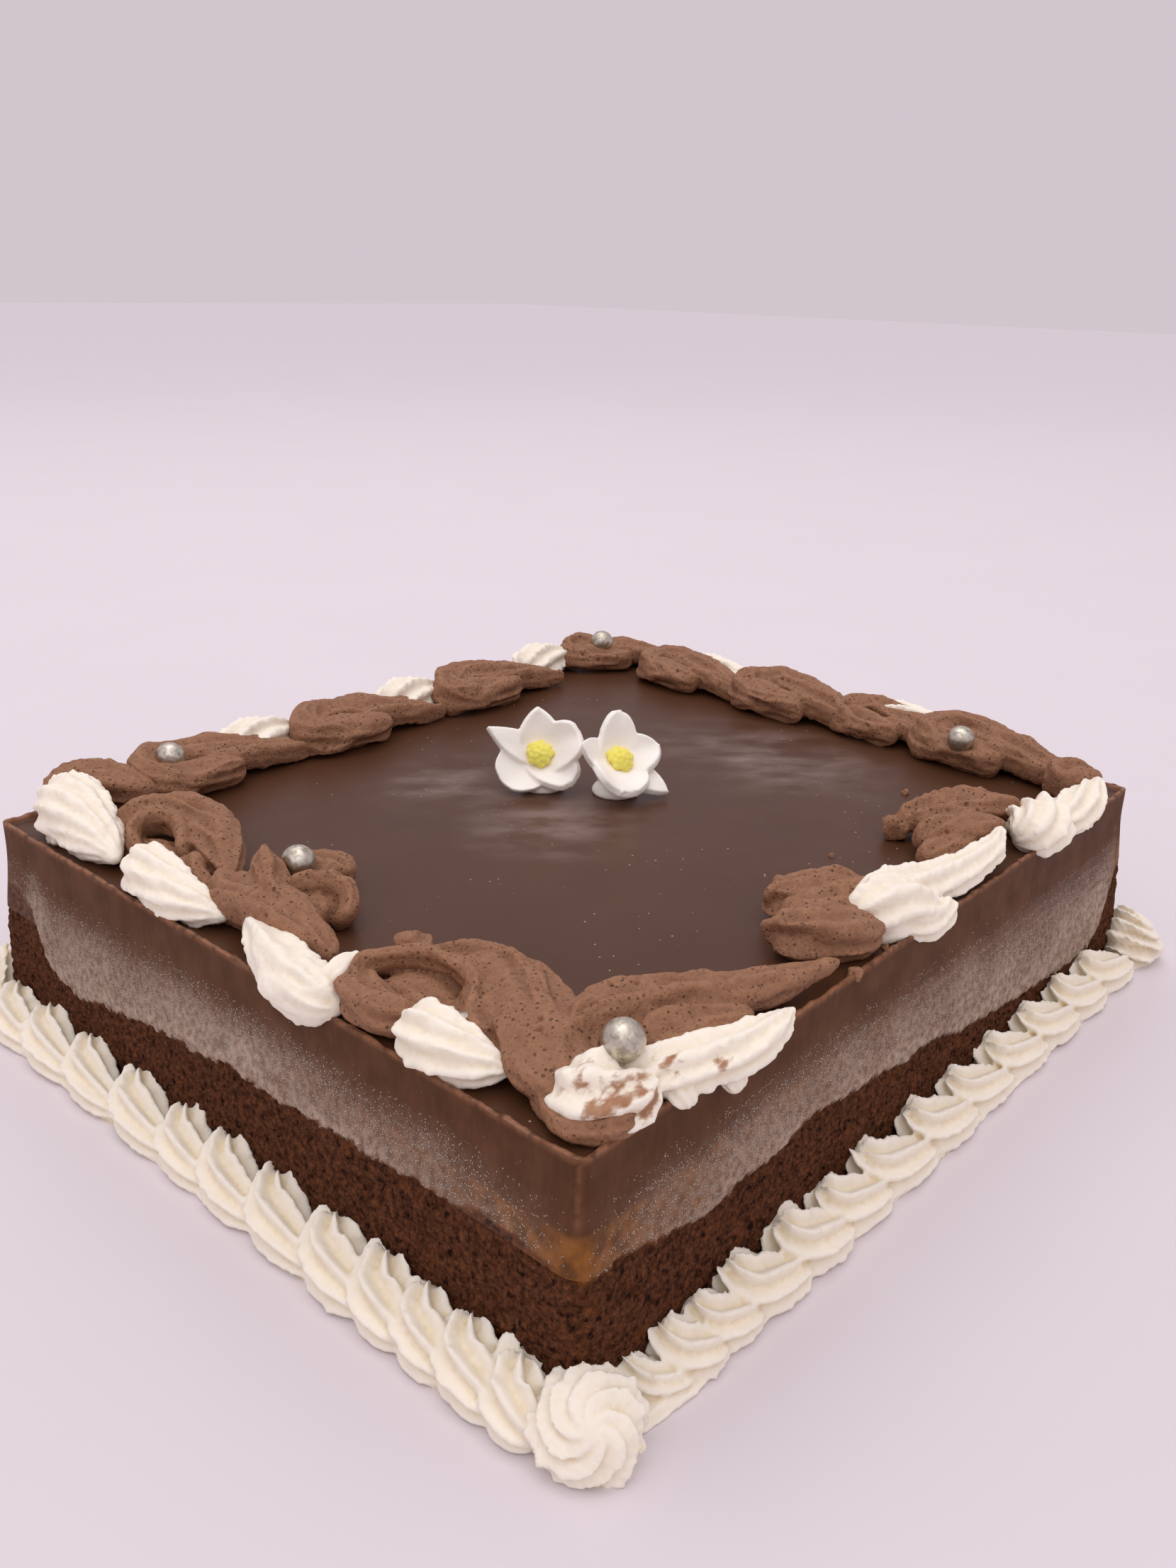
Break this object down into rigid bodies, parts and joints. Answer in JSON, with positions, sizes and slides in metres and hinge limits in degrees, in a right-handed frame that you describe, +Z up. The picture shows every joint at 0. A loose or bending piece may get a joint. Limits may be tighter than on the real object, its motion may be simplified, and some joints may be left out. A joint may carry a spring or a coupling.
{
  "type": "chocolate layer cake",
  "caption": "Rectangular chocolate layer cake with sponge, fruit filling and chocolate top, piped cream rope, scrolls and shells, silver pearls and sugar flowers.",
  "frame": {"origin": "middle of the footprint, on the surface that the cake stands on", "axes": "+X along the cake's long side, +Y along its short side, +Z up"},
  "size_m": [0.2656, 0.2364, 0.0752],
  "materials": {
    "chocolate_sponge": "dark open crumb",
    "fruit_filling": "amber, satin",
    "chocolate": "satin chocolate with a dusty haze",
    "chocolate_cream": "matte whipped chocolate with pinholes",
    "whipped_cream": "soft satin cream",
    "silver_pearl": "mottled silver",
    "sugar_flower": "matte sugar paste",
    "flower_centre": "matte yellow sugar"
  },
  "bodies": {
    "root": {"base_rope_back": "whipped_cream", "base_rope_front": "whipped_cream", "base_rope_left": "whipped_cream", "base_rope_right": "whipped_cream", "base_rosette_back_left": "whipped_cream", "base_rosette_back_right": "whipped_cream", "base_rosette_front_left": "whipped_cream", "base_rosette_front_right": "whipped_cream", "chocolate_layer": "chocolate", "chocolate_scroll_back_1": "chocolate_cream", "chocolate_scroll_back_2": "chocolate_cream", "chocolate_scroll_back_3": "chocolate_cream", "chocolate_scroll_back_corner": "chocolate_cream", "chocolate_scroll_front_1": "chocolate_cream", "chocolate_scroll_front_2": "chocolate_cream", "chocolate_scroll_front_3": "chocolate_cream", "chocolate_scroll_front_corner": "chocolate_cream", "chocolate_scroll_left_1": "chocolate_cream", "chocolate_scroll_left_2": "chocolate_cream", "chocolate_scroll_left_3": "chocolate_cream", "chocolate_scroll_left_corner": "chocolate_cream", "chocolate_scroll_right_1": "chocolate_cream", "chocolate_scroll_right_2": "chocolate_cream", "chocolate_scroll_right_3": "chocolate_cream", "chocolate_scroll_right_4": "chocolate_cream", "cream_shell_back_1": "whipped_cream", "cream_shell_back_2": "whipped_cream", "cream_shell_back_3": "whipped_cream", "cream_shell_front_1": "whipped_cream", "cream_shell_front_corner": "whipped_cream", "cream_shell_left_1": "whipped_cream", "cream_shell_left_2": "whipped_cream", "cream_shell_left_3": "whipped_cream", "cream_shell_left_corner": "whipped_cream", "cream_shell_right_1": "whipped_cream", "cream_shell_right_2": "whipped_cream", "cream_shell_right_corner": "whipped_cream", "flower_centre_left": "flower_centre", "flower_centre_right": "flower_centre", "fruit_filling": "fruit_filling", "silver_pearl_1": "silver_pearl", "silver_pearl_2": "silver_pearl", "silver_pearl_3": "silver_pearl", "silver_pearl_4": "silver_pearl", "silver_pearl_5": "silver_pearl", "silver_pearl_6": "silver_pearl", "sponge": "chocolate_sponge", "sugar_flower_left": "sugar_flower", "sugar_flower_right": "sugar_flower"}
  },
  "joints": []
}
